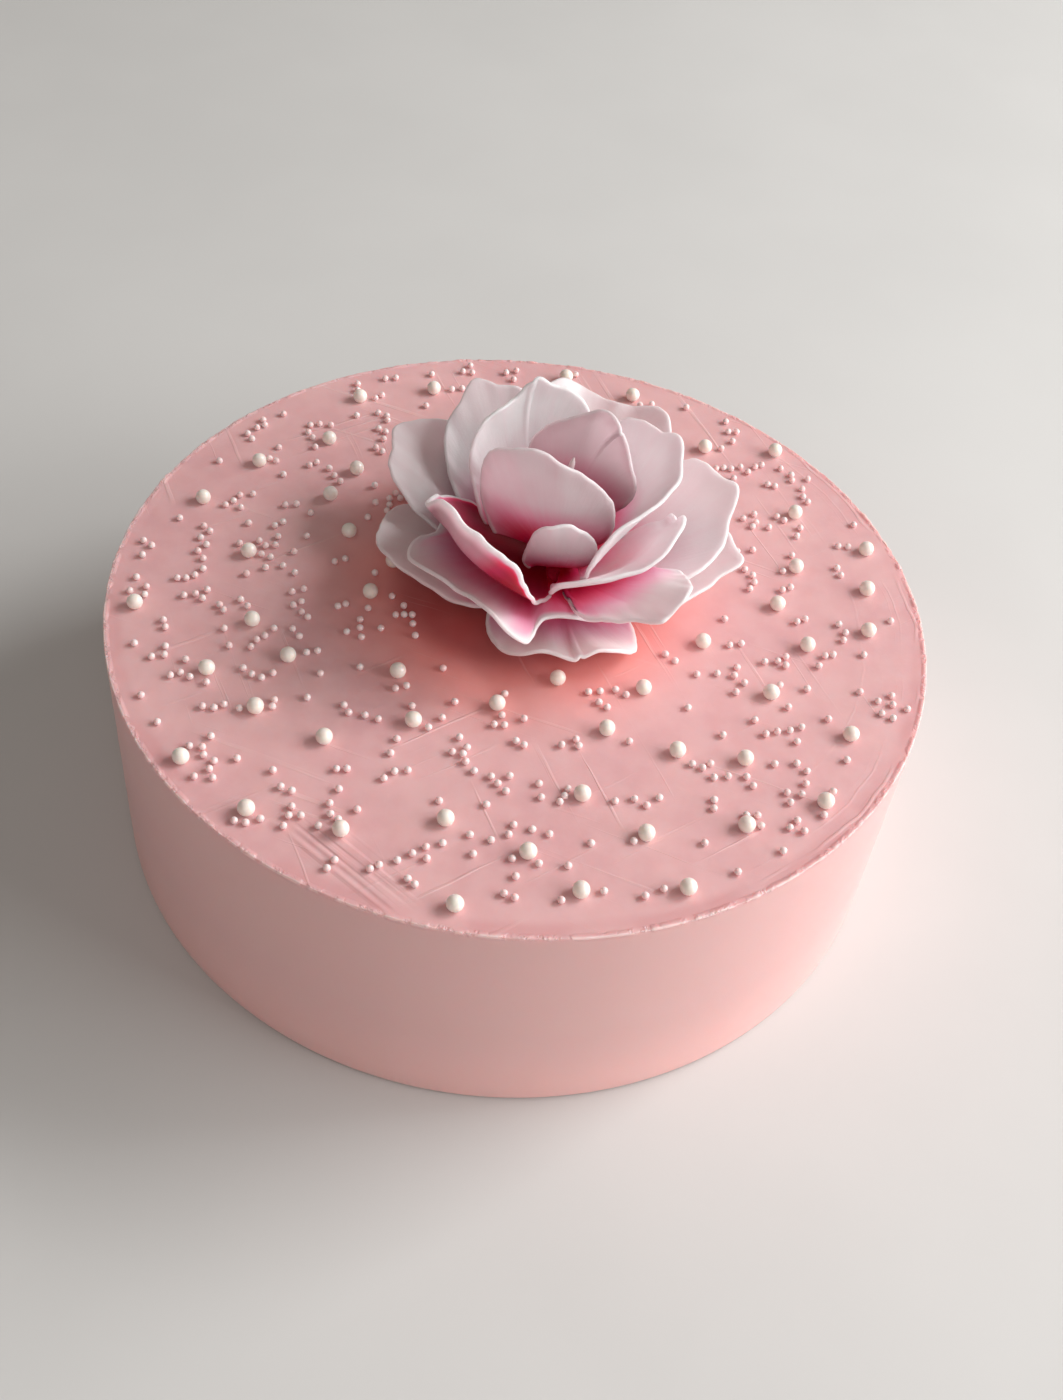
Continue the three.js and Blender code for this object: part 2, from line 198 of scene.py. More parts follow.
def mixed(tree, share, first, second, blend="MIX"):
    # The first colour where share is 0, and the second, or their blend, where it is 1
    node = addNode(tree, "ShaderNodeMix", data_type="RGBA", blend_type=blend)
    feed(tree, node.inputs[0], share)
    feed(tree, node.inputs[6], first)
    feed(tree, node.inputs[7], second)
    return node.outputs[2]


def noise(tree, vector, scale, detail=2.0, roughness=0.5):
    # Soft random blotches from 0 to 1, as many as scale to one unit of the vector
    inputs = {"Vector": vector, "Scale": scale, "Detail": detail, "Roughness": roughness}
    return addNode(tree, "ShaderNodeTexNoise", inputs).outputs[0]


def placed(tree, vector, turn=0.0, stretch=(1.0, 1.0, 1.0), shift=(0.0, 0.0, 0.0)):
    # The same coordinates turned about the upright axis, then stretched and moved by shift
    if turn:
        inputs = {"Vector": vector, "Rotation": (0, 0, math.radians(turn))}
        vector = addNode(tree, "ShaderNodeMapping", inputs, vector_type="POINT").outputs[0]
    inputs = {"Vector": vector, "Scale": stretch, "Location": shift}
    return addNode(tree, "ShaderNodeMapping", inputs, vector_type="POINT").outputs[0]


def newGroup(name, inputs, outputs):
    # A node group with named sockets, each given as (name, kind, value)
    tree = bpy.data.node_groups.new(name, "ShaderNodeTree")
    for label, kind, value in inputs:
        socket = tree.interface.new_socket(label, in_out="INPUT", socket_type=kind)
        if value is not None:
            socket.default_value = value
    for label, kind in outputs:
        tree.interface.new_socket(label, in_out="OUTPUT", socket_type=kind)
    return tree, tree.nodes.new("NodeGroupInput").outputs, tree.nodes.new("NodeGroupOutput").inputs


def makeMottle():
    # Colour that drifts lighter and darker in soft patches
    tree, given, result = newGroup("mottle", [
        ("Colour", "NodeSocketColor", None), ("Other", "NodeSocketColor", None),
        ("Vector", "NodeSocketVector", None), ("Scale", "NodeSocketFloat", 20.0),
        ("Amount", "NodeSocketFloat", 0.5)], [("Colour", "NodeSocketColor")])
    patches = between(tree, noise(tree, given["Vector"], given["Scale"], 3.0, 0.55), 0.32, 0.68)
    feed(tree, result["Colour"], mixed(tree, calc(tree, "MULTIPLY", patches, given["Amount"]),
                                       given["Colour"], given["Other"]))
    return tree


def makeSkin():
    # Height of a fine uneven skin: broad dimples with a fine grain on them, from 0 to about 1
    tree, given, result = newGroup("skin", [
        ("Vector", "NodeSocketVector", None), ("Broad scale", "NodeSocketFloat", 60.0),
        ("Fine scale", "NodeSocketFloat", 900.0), ("Fine share", "NodeSocketFloat", 0.3)],
        [("Height", "NodeSocketFloat")])
    broad = noise(tree, given["Vector"], given["Broad scale"], 2.0)
    fine = noise(tree, given["Vector"], given["Fine scale"], 2.0)
    feed(tree, result["Height"], calc(tree, "ADD", broad, calc(tree, "MULTIPLY", fine, given["Fine share"])))
    return tree


mottleGroup = makeMottle()
skinGroup = makeSkin()


def mottled(tree, vector, colour, other, scale, amount):
    # The colour with patches of the other one in it
    node = addNode(tree, "ShaderNodeGroup", node_tree=mottleGroup)
    for name, value in (("Colour", colour), ("Other", other), ("Vector", vector), ("Scale", scale),
                        ("Amount", amount)):
        feed(tree, node.inputs[name], value)
    return node.outputs[0]


def skinHeight(tree, vector, broad, fine, share):
    # The height of the uneven skin with its own numbers of dimples and grains
    node = addNode(tree, "ShaderNodeGroup", node_tree=skinGroup)
    for name, value in (("Vector", vector), ("Broad scale", broad), ("Fine scale", fine), ("Fine share", share)):
        feed(tree, node.inputs[name], value)
    return node.outputs[0]


def bumped(tree, shader, height, depth):
    # depth is the real height in metres of a step from 0 to 1
    inputs = {"Height": height, "Strength": 1.0, "Distance": depth}
    feed(tree, shader.inputs["Normal"], addNode(tree, "ShaderNodeBump", inputs).outputs[0])


# The shader's input that each plain value of a finish sets
plainInputs = dict(
    roughness="Roughness", gloss="Specular IOR Level", coat="Coat Weight", coatRoughness="Coat Roughness",
    sheen="Sheen Weight", subsurface="Subsurface Weight", radius="Subsurface Radius", depth="Subsurface Scale",
)


def newMaterial(name, finish):
    # A material with the plain values of its finish, its tree, its shader and the piece's own coordinates
    material = bpy.data.materials.new(name)
    material.use_nodes = True
    tree = material.node_tree
    shader = tree.nodes["Principled BSDF"]
    for value, label in plainInputs.items():
        if value in finish:
            shader.inputs[label].default_value = finish[value]
    coords = tree.nodes.new("ShaderNodeTexCoord").outputs["Object"]
    return material, tree, shader, coords


def makePatchy(name, finish):
    # One colour with patches of another in it, and an uneven skin where the finish has one
    material, tree, shader, coords = newMaterial(name, finish)
    colour = mottled(tree, coords, finish["colour"], finish["other"], *finish["patches"])
    feed(tree, shader.inputs["Base Color"], colour)
    if "skin" in finish:
        bumped(tree, shader, skinHeight(tree, coords, *finish["skin"]), finish["bumpDepth"])
    return material


# What finishes say besides colours and plain values: patches, how many to the metre and how much of the other
# colour; skin, dimples and grains to the metre and the grain's share; bumpDepth, their height in metres.
icingFinish = dict(
    top=linear(230, 180, 180), topOther=linear(221, 165, 168), fleck=linear(236, 192, 192),
    side=linear(229, 182, 179), foot=linear(241, 189, 185), edge=linear(243, 206, 204),
    # lip: the colour of the painted shade in the band inside the rim
    lip=linear(216, 152, 154), mark=linear(240, 206, 202),
    glow=linear(241, 140, 130), shadowUnderPetals=linear(176, 44, 34),
    topPatches=(32.0, 0.6), fleckPatches=(150.0, 0.35), sidePatches=(14.0, 0.4),
    skin=(45.0, 700.0, 0.12), bumpDepth=0.00016, glowLeast=0.58, glowSpread=0.35, rimShadeShare=0.5,
    roughness=0.5, gloss=0.6, subsurface=0.45, radius=(1.0, 0.4, 0.3), depth=0.004,
)
# Where a finish sets in, in millimetres: (where it starts, where it is full)
icingZones = dict(
    top=(-2, -0.6), foot=(38, 2),                          # heights: under the top, and over the base
    glowMiddle=(-12, -8), glow=(74, 36), under=(46, 32),   # a place by the flower's middle, distances from it
    band=(-7, -3.5), bandEnd=(-0.8, -2), bandFront=(30, -40),    # distances from the rim, and y
    edge=(-1, -0.5), edgeHeight=(-1, -0.4), crumbs=(-2.2, -1), crumbHeight=(-1.5, -0.8),
    ripples=(-26, -10), ripplesRight=(50, 100),            # distances from the rim, and x
    ridgeMiddle=(-38, -111), ridgeLength=(24, 12), ridgeWidth=(8, 5),
)
knife = dict(
    hairlines=((17, 0.0), (64, 0.31), (-38, 0.57)),        # the turn and a seed of each set
    hairStretch=(9.0, 430.0, 1.0), sway=0.6, rippleWander=9, rippleScale=420.0, rippleShare=0.8,
    ridgeTurn=37, ridgeStretch=(6.0, 420.0, 1.0), ridgeRise=2.0, crumbRise=1.6, markRise=0.8, markShare=0.3,
)


def knifeMarks(tree, coords, apart, fromAxis):
    # Hairlines in several directions, only here and there, and wavy ripples that follow the rim on the right,
    # where the turning blade lifted off
    marks = 0.0
    swayed = calc(tree, "MULTIPLY", noise(tree, coords, 55.0, 2.0), knife["sway"])
    sway = addNode(tree, "ShaderNodeCombineXYZ", {"Y": swayed}).outputs[0]
    for turn, seed in knife["hairlines"]:
        lines = placed(tree, coords, turn=turn, stretch=knife["hairStretch"], shift=(seed, seed, 0))
        lines = addNode(tree, "ShaderNodeVectorMath", {0: lines, 1: sway}).outputs[0]
        patches = between(tree, noise(tree, placed(tree, coords, shift=(seed, 0, seed)), 24.0, 1.0), 0.48, 0.66)
        hair = between(tree, noise(tree, lines, 1.0, 2.0), 0.62, 0.72)
        marks = calc(tree, "ADD", marks, product(tree, hair, patches))
    wander = calc(tree, "MULTIPLY", noise(tree, coords, 28.0, 3.0), knife["rippleWander"] * mm)
    rings = addNode(tree, "ShaderNodeCombineXYZ", {"X": calc(tree, "ADD", fromAxis, wander)}).outputs[0]
    ripple = product(tree, between(tree, noise(tree, rings, knife["rippleScale"], 1.0), 0.56, 0.68),
                     within(tree, fromAxis, icingZones["ripples"], cake["radius"]),
                     within(tree, apart[0], icingZones["ripplesRight"]),
                     between(tree, noise(tree, coords, 34.0, 2.0), 0.42, 0.6), knife["rippleShare"])
    return calc(tree, "ADD", marks, ripple)


def bladeRidges(tree, coords):
    # Parallel ridges that the blade left by the front left rim
    turn = knife["ridgeTurn"]
    lines = noise(tree, placed(tree, coords, turn=turn, stretch=knife["ridgeStretch"]), 1.0, 1.0)
    patch = addNode(tree, "ShaderNodeSeparateXYZ", {"Vector": placed(tree, coords, turn=turn)}).outputs
    middle = turnedPoint(icingZones["ridgeMiddle"], turn)
    along, across = (calc(tree, "ABSOLUTE", calc(tree, "SUBTRACT", patch[k], middle[k] * mm)) for k in (0, 1))
    return product(tree, between(tree, lines, 0.4, 0.62), within(tree, along, icingZones["ridgeLength"]),
                   within(tree, across, icingZones["ridgeWidth"]))


def makeIcing():
    # Dusty pink butter icing: smooth satin, finely scratched by the knife, paler on its cut edge
    finish, zones, radius, top = icingFinish, icingZones, cake["radius"], cake["height"]
    material, tree, shader, coords = newMaterial("pink icing", finish)
    apart = addNode(tree, "ShaderNodeSeparateXYZ", {"Vector": coords}).outputs
    plan = addNode(tree, "ShaderNodeCombineXYZ", {"X": apart[0], "Y": apart[1], "Z": 0.0}).outputs[0]
    fromAxis = addNode(tree, "ShaderNodeVectorMath", {0: plan}, operation="LENGTH").outputs["Value"]
    onTop = within(tree, apart[2], zones["top"], top)

    topColour = mottled(tree, coords, finish["top"], finish["topOther"], *finish["topPatches"])
    topColour = mottled(tree, coords, topColour, finish["fleck"], *finish["fleckPatches"])
    sideBands = placed(tree, coords, stretch=(1.0, 1.0, 5.0))
    sideColour = mottled(tree, sideBands, finish["side"], finish["top"], *finish["sidePatches"])
    # paler towards the base: painted light bounced up from the floor
    sideColour = mixed(tree, within(tree, apart[2], zones["foot"]), sideColour, finish["foot"])
    colour = mixed(tree, onTop, sideColour, topColour)

    # painted reflected light: the flower's crimson shines on the icing round it, and a painted shadow darkens it
    # right under the petals
    middle = (*((flower[axis] + shift) * mm for axis, shift in zip("xy", zones["glowMiddle"])), 0)
    fromFlower = addNode(tree, "ShaderNodeVectorMath", {0: plan, 1: middle}, operation="DISTANCE").outputs["Value"]
    uneven = between(tree, noise(tree, coords, 26.0, 2.0), 0.2, 0.8)
    uneven = calc(tree, "ADD", calc(tree, "MULTIPLY", uneven, finish["glowSpread"]), finish["glowLeast"])
    glow = product(tree, within(tree, fromFlower, zones["glow"]), uneven, onTop)
    # where the painted shadow under the petals sets in
    under = within(tree, fromFlower, zones["under"])
    colour = mixed(tree, glow, colour, mixed(tree, under, finish["glow"], finish["shadowUnderPetals"]))

    # a darker band inside the rim at the right and in front, painted shade where the top slopes down towards the
    # rim, and a paler trimmed edge
    band = product(tree, within(tree, fromAxis, zones["band"], radius),
                   within(tree, fromAxis, zones["bandEnd"], radius),
                   within(tree, apart[1], zones["bandFront"]), onTop,
                   between(tree, noise(tree, coords, 40.0, 2.0), 0.35, 0.6), finish["rimShadeShare"])
    colour = mixed(tree, band, colour, finish["lip"])
    ragged = between(tree, noise(tree, coords, 210.0, 4.0, 0.65), 0.4, 0.55)
    edge = product(tree, within(tree, fromAxis, zones["edge"], radius),
                   within(tree, apart[2], zones["edgeHeight"], top), ragged)
    colour = mixed(tree, edge, colour, finish["edge"])
    crumbs = product(tree, within(tree, fromAxis, zones["crumbs"], radius),
                     within(tree, apart[2], zones["crumbHeight"], top), ragged)

    # what the knife left stands up a little and is a little paler
    marks = calc(tree, "MULTIPLY", knifeMarks(tree, coords, apart, fromAxis), onTop)
    colour = mixed(tree, calc(tree, "MULTIPLY", marks, knife["markShare"], clamp=True), colour, finish["mark"])
    feed(tree, shader.inputs["Base Color"], colour)
    height = skinHeight(tree, coords, *finish["skin"])
    for relief, rise in ((crumbs, knife["crumbRise"]), (marks, knife["markRise"]),
                         (bladeRidges(tree, coords), knife["ridgeRise"])):
        height = calc(tree, "ADD", height, calc(tree, "MULTIPLY", relief, rise))
    bumped(tree, shader, height, finish["bumpDepth"])
    return material


def turnedPoint(point, turn):
    # Where a Mapping node turned by this many degrees puts a point of the plan
    angle = math.radians(turn)
    x, y = point
    return x * math.cos(angle) - y * math.sin(angle), x * math.sin(angle) + y * math.cos(angle)


petalFinish = dict(
    pale=linear(233, 226, 227), paleOther=linear(229, 215, 217), pink=linear(239, 158, 182),
    magenta=linear(228, 40, 98), crimson=linear(196, 4, 42),
    pinkFrom=(-0.1, 0.4), magentaFrom=(0.22, 0.66), crimsonFrom=(0.6, 0.85),    # amounts of dust
    streaks=0.12, patches=(45.0, 0.6), skin=(140.0, 1500.0, 0.25), veinRise=0.5, bumpDepth=0.00012,
    roughness=0.5, subsurface=1.0, radius=(1.0, 0.8, 0.83), depth=0.0055,
)


def makePetalPaste():
    # Sugar paste dusted from crimson at the claw through pink to a pinkish white rim
    finish = petalFinish
    material, tree, shader, coords = newMaterial("dusted petal paste", finish)
    fan = addNode(tree, "ShaderNodeAttribute", attribute_name="fan").outputs["Vector"]
    dust = addNode(tree, "ShaderNodeAttribute", attribute_name="dust").outputs["Fac"]
    # the brush leaves soft streaks along the petal
    streaks = noise(tree, placed(tree, fan, stretch=(14.0, 1.6, 1.0)), 1.0, 3.0, 0.6)
    streaks = calc(tree, "MULTIPLY", calc(tree, "SUBTRACT", streaks, 0.5), finish["streaks"])
    dust = calc(tree, "ADD", dust, streaks)
    colour = mottled(tree, coords, finish["pale"], finish["paleOther"], *finish["patches"])
    for shade in ("pink", "magenta", "crimson"):
        colour = mixed(tree, between(tree, dust, *finish[shade + "From"]), colour, finish[shade])
    # painted light and shade: each petal's colour is made lighter or darker for how much light falls on it
    paintedLight = addNode(tree, "ShaderNodeAttribute", attribute_name="paintedLight").outputs["Fac"]
    feed(tree, shader.inputs["Base Color"], mixed(tree, 1.0, colour, paintedLight, blend="MULTIPLY"))
    # faint veins that spread with the fan, over a fine dry grain
    veins = noise(tree, placed(tree, fan, stretch=(26.0, 1.2, 1.0)), 1.0, 2.0)
    veins = calc(tree, "MULTIPLY", veins, finish["veinRise"])
    height = calc(tree, "ADD", veins, skinHeight(tree, coords, *finish["skin"]))
    bumped(tree, shader, height, finish["bumpDepth"])
    return material


# The heart is rough and dusted deep crimson
heartFinish = dict(
    colour=linear(178, 6, 44), other=linear(196, 18, 60), patches=(160.0, 0.7),
    skin=(260.0, 1800.0, 0.4), bumpDepth=0.0004,
    roughness=0.6, gloss=0.1, subsurface=0.2, radius=(1.0, 0.3, 0.35), depth=0.0015,
)
stamenFinish = dict(
    foot=linear(214, 60, 104), tip=linear(242, 226, 226), patches=(300.0, 0.3),
    paleFrom=(17, 34),                                     # heights over the icing
    skin=(500.0, 2500.0, 0.3), bumpDepth=0.0001,
    roughness=0.5, subsurface=0.3, radius=(1.0, 0.5, 0.5), depth=0.001,
)


def makeStamenPaste():
    # Pale sugar paste, pinker towards the thread's foot
    finish = stamenFinish
    material, tree, shader, coords = newMaterial("pale thread paste", finish)
    height = addNode(tree, "ShaderNodeSeparateXYZ", {"Vector": coords}).outputs[2]
    pale = within(tree, height, finish["paleFrom"], cake["height"])
    colour = mixed(tree, pale, finish["foot"], finish["tip"])
    colour = mottled(tree, coords, colour, finish["tip"], *finish["patches"])
    feed(tree, shader.inputs["Base Color"], colour)
    bumped(tree, shader, skinHeight(tree, coords, *finish["skin"]), finish["bumpDepth"])
    return material


# The pearls are sugar balls with a lustrous coating, the small ones pinker
pearlCoating = dict(
    patches=(240.0, 0.8), skin=(400.0, 2600.0, 0.3), bumpDepth=0.00004,
    coatRoughness=0.12, sheen=0.15, depth=0.002,
)
pearlFinish = dict(
    large=dict(pearlCoating, colour=linear(250, 240, 230), other=linear(244, 228, 220), roughness=0.36,
               coat=0.3, subsurface=0.5, radius=(1.0, 0.75, 0.6)),
    small=dict(pearlCoating, colour=linear(252, 226, 224), other=linear(246, 206, 206), roughness=0.3,
               coat=0.5, subsurface=0.7, radius=(1.0, 0.6, 0.55)),
)
floorFinish = dict(colour=linear(214, 213, 211), other=linear(208, 207, 205), patches=(6.0, 0.6), roughness=0.6)


# meshes
def addMesh(name, points, faces, material):
    # points in millimetres, faces as lists of three or four point numbers
    mesh = bpy.data.meshes.new(name)
    mesh.from_pydata((np.asarray(points) * mm).tolist(), [], [list(face) for face in faces])
    mesh.materials.append(material)
    mesh.shade_smooth()
    mesh.validate()
    piece = bpy.data.objects.new(name, mesh)
    bpy.context.scene.collection.objects.link(piece)
    return piece


def quads(first, second):
    # Faces between two closed rings or open rows of the same length, given as arrays of vertex numbers
    return np.stack([first[:-1], first[1:], second[1:], second[:-1]], 1)


def ringFaces(rows, count):
    # A closed skin on rows of rings, numbered row by row from the foot up, with one point after them for the
    # foot and one for the tip
    ring = np.arange(rows * count).reshape(rows, count)
    ring = np.concatenate([ring, ring[:, :1]], 1)
    faces = [tuple(face) for i in range(rows - 1) for face in quads(ring[i], ring[i + 1])]
    foot, tip = rows * count, rows * count + 1
    faces += [(foot, b, a) for a, b in zip(ring[0][:-1], ring[0][1:])]
    return faces + [(tip, a, b) for a, b in zip(ring[-1][:-1], ring[-1][1:])]


def addFloor():
    # A wide sheet just below the cake
    size = 3000
    points = [(-size, -size, -0.3), (size, -size, -0.3), (size, size, -0.3), (-size, size, -0.3)]
    floor = addMesh("floor", points, [(0, 1, 2, 3)], makePatchy("pale floor", floorFinish))


addFloor()


# the cake
icing = dict(
    around=900, topRings=46, sideRings=34, rimWidth=14, topEnd=0.8,     # the top ends so far inside the rim
    lipRise=0.12, lipWidth=5, edgeRadius=0.3, raggedness=0.36, footRadius=1.2,
    topWave=0.12, sideWave=0.16, inset=0.2, past=0.3,      # the side lies a little inside the CAD's
    raggedWaves=(37, 61, 89, 131, 173, 211, 263), slowWaves=(2, 3, 5, 7),
)


def waves(angle, counts, seed):
    # A sum of sines round the cake, each with its own phase, between about -1 and 1
    phases = np.random.RandomState(seed).uniform(0, 2 * math.pi, len(counts))
    return sum(np.sin(n * angle + p) / math.sqrt(i + 1) for i, (n, p) in enumerate(zip(counts, phases))) / 2


def addIcing(material):
    # A profile of (radius, height) pairs carried round the axis. The top rises to a low lip by the rim, and the
    # edge above the side is ragged: its radius and height wander with the angle.
    radius, height = cake["radius"], cake["height"]
    angle = np.arange(icing["around"]) * 2 * math.pi / icing["around"]
    ragged = waves(angle, icing["raggedWaves"], 3)
    ragged = ragged * (0.35 + 0.65 * ease(waves(angle, (5, 9, 14), 4), -0.4, 0.7))
    slow = waves(angle, icing["slowWaves"], 5)
    edge = icing["edgeRadius"] * (1 + 0.5 * ragged)
    rim = radius - 0.25 + 1.25 * icing["sideWave"] * slow + icing["raggedness"] * 0.5 * ragged
    rim = np.minimum(rim, radius + icing["past"])

    topEnd = radius - icing["topEnd"]
    across = np.concatenate([np.linspace(0, radius - icing["rimWidth"], icing["topRings"] // 2)[1:],
                             np.linspace(radius - icing["rimWidth"] + 0.5, topEnd, icing["topRings"] // 2)])
    r = across[:, None] * np.ones_like(angle)
    lip = icing["lipRise"] * (0.75 + 0.5 * slow) * ease(r, radius - icing["lipWidth"], topEnd)
    lip = lip + icing["raggedness"] * np.maximum(ragged, -0.3) * ease(r, radius - 1.9, topEnd)
    top = icing["topWave"] * (np.sin(r / 17 + 3 * angle) + np.sin(r / 9 - 2 * angle + 1)) * ease(r, 8, 60)
    z = height + lip + top
    rings = [(r, z)]
    # round edge from the top to the side
    for share in np.linspace(0, 1, 6):
        turn = share * math.pi / 2
        rings.append(((rim - edge + edge * math.sin(turn))[None], (z[-1] - edge + edge * math.cos(turn))[None]))
    depth = np.linspace(0, 1, icing["sideRings"])[1:, None]
    start = z[-1] - 2 * edge
    foot = icing["footRadius"]
    zSide = start - depth * (start - foot)
    wave = icing["sideWave"] * (waves(angle, (3, 4, 6), 6) * np.sin(depth * 5) + np.sin(depth * 31) * 0.25)
    side = radius - icing["inset"]
    rings.append((rim + (side + wave * ease(depth, 0, 0.1) - rim) * ease(depth, 0, 0.03), zSide))
    for share in np.linspace(0.25, 1, 4):
        turn = share * math.pi / 2
        rings.append((np.full((1, len(angle)), side - foot + foot * math.cos(turn)),
                      np.full((1, len(angle)), foot - foot * math.sin(turn))))
    rings.append((np.full((1, len(angle)), radius * 0.5), np.zeros((1, len(angle)))))
    r = np.concatenate([pair[0] for pair in rings])[::-1]
    z = np.concatenate([pair[1] for pair in rings])[::-1]
    points = np.stack([r * np.cos(angle), r * np.sin(angle), z], -1).reshape(-1, 3)
    points = np.concatenate([points, [(0, 0, 0), (0, 0, height)]])
    piece = addMesh("icing", points, ringFaces(len(r), len(angle)), material)
    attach(piece, "root")
    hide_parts("cake")
    return piece


icingPiece = addIcing(makeIcing())
print("icing:", len(icingPiece.data.polygons), "faces")


# the pearls
def seededDraws(seed):
    # Whole number generator, the same every time
    state = seed
    while True:
        state = state * 16807 % 2147483647
        yield state / 2147483647


def nextPlace(taken, tries, draws):
    # The best of several tries, the one furthest from those already taken, clear of the flower
    best, bestGap = None, -1
    while best is None:
        for _ in range(tries):
            radius = pearls["field"] * math.sqrt(next(draws))
            angle = 2 * math.pi * next(draws)
            spot = (radius * math.cos(angle), radius * math.sin(angle))
            gap = min([2 * cake["radius"]] + [math.dist(spot, other) for other in taken])
            clear = math.dist(spot, (flower["x"], flower["y"])) > pearls["flowerField"]
            if clear and gap > bestGap:
                best, bestGap = spot, gap
    return best


def scatterPearls():
    # Large pearls first, then small ones in clusters of one to five, mostly few
    draws = seededDraws(pearls["seed"])
    large, small, middles = [], [], []
    while len(large) < pearls["largeCount"]:
        large.append(nextPlace(large, pearls["largeTries"], draws))
    for _ in range(pearls["clusterCount"]):
        middle = nextPlace(middles, pearls["clusterTries"], draws)
        middles.append(middle)
        for k in range(1 + int(5 * next(draws) ** 1.8)):
            angle = 2 * math.pi * next(draws)
            reach = pearls["smallRadius"] * (2.2 + 1.4 * next(draws)) * math.sqrt(k)
            spot = (middle[0] + reach * math.cos(angle), middle[1] + reach * math.sin(angle))
            free = all(math.dist(spot, other) > 2.1 * pearls["smallRadius"] for other in small) and all(
                math.dist(spot, other) > pearls["largeRadius"] + 1.3 * pearls["smallRadius"] for other in large)
            if free and math.hypot(*spot) < pearls["limit"]:
                small.append(spot)
    return np.array(large), np.array(small)


def addPearls(name, spots, radius, sides, material):
    # Balls on a grid of turn and rise, each a little out of round, pressed into the icing by the same share
    rows = sides // 2 + 1
    turn = np.arange(sides) * 2 * math.pi / sides
    rise = np.linspace(-1, 1, rows)[1:-1] * math.pi / 2
    ball = np.stack([np.cos(rise)[:, None] * np.cos(turn), np.cos(rise)[:, None] * np.sin(turn),
                     np.sin(rise)[:, None] * np.ones(sides)], -1).reshape(-1, 3)
    ball = np.concatenate([ball, [(0, 0, -1), (0, 0, 1)]])
    body = ringFaces(rows - 2, sides)
    chance = np.random.RandomState(len(spots))
    stretch = radius * (1 + pearls["uneven"] * chance.uniform(-1, 1, (len(spots), 1, 3)))
    middle = np.column_stack([spots, np.full(len(spots), cake["height"] + radius * (1 - pearls["sunkShare"]))])
    points = (middle[:, None] + ball * stretch).reshape(-1, 3)
    faces = [tuple(n + i * len(ball) for n in face) for i in range(len(spots)) for face in body]
    piece = addMesh(name, points, faces, material)
    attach(piece, "root")
    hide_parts("cake")


largeSpots, smallSpots = scatterPearls()
for size, spots in (("large", largeSpots), ("small", smallSpots)):
    coating = makePatchy(size + " pearl coating", pearlFinish[size])
    addPearls(size + "_pearls", spots, pearls[size + "Radius"], pearls[size + "Sides"], coating)
print("pearls:", len(largeSpots), "large and", len(smallSpots), "small")


# the flower
# Each petal is a fan of paste. rise: its angles at the claw, half way and at the rim. cupRadius: how it is
# bent across. lean: how far the rim goes to one side. tilt: that side lifted. gutter: a channel along it.
# fold: a crease. curl: the left and right edges lifted. lip: the rim rolled down. dip: a dent or point in the
# rim. scallop: its uneven outline. wave: size, number and phase of its ruffle. pleats: depth, place and drift
# of each small step by the rim. belly: how far the middle is pushed in. span: the shares of the fan that are
# kept left and right. gutterAt: where the channel runs. dust: how far the colour reaches up the inner and the
# outer face, as a share of the length; innerStop and outerStop: where it fades out; innerStreaks and
# outerStreaks: where it reaches further. tone: painted light and shade, how much lighter or darker the whole
# petal is drawn for the light that falls on it, the rim's own in rimPaintedLight.
paste = dict(
    fanHalfAngle=128, clawHalfWidth=5, scallopTurns=4.2, gutterFoot=6, foldWidth=0.12, rollFrom=0.7,
    thickness=1.1, rimBead=1.15, across=190, along=46, rimSteps=6, frill=0.00009, unevenness=0.35,
    nick=0.00007, pleatEdge=0.015, pleatWidth=0.22, dustStop=0.94, crowding=1.25, thinnest=0.85,
)
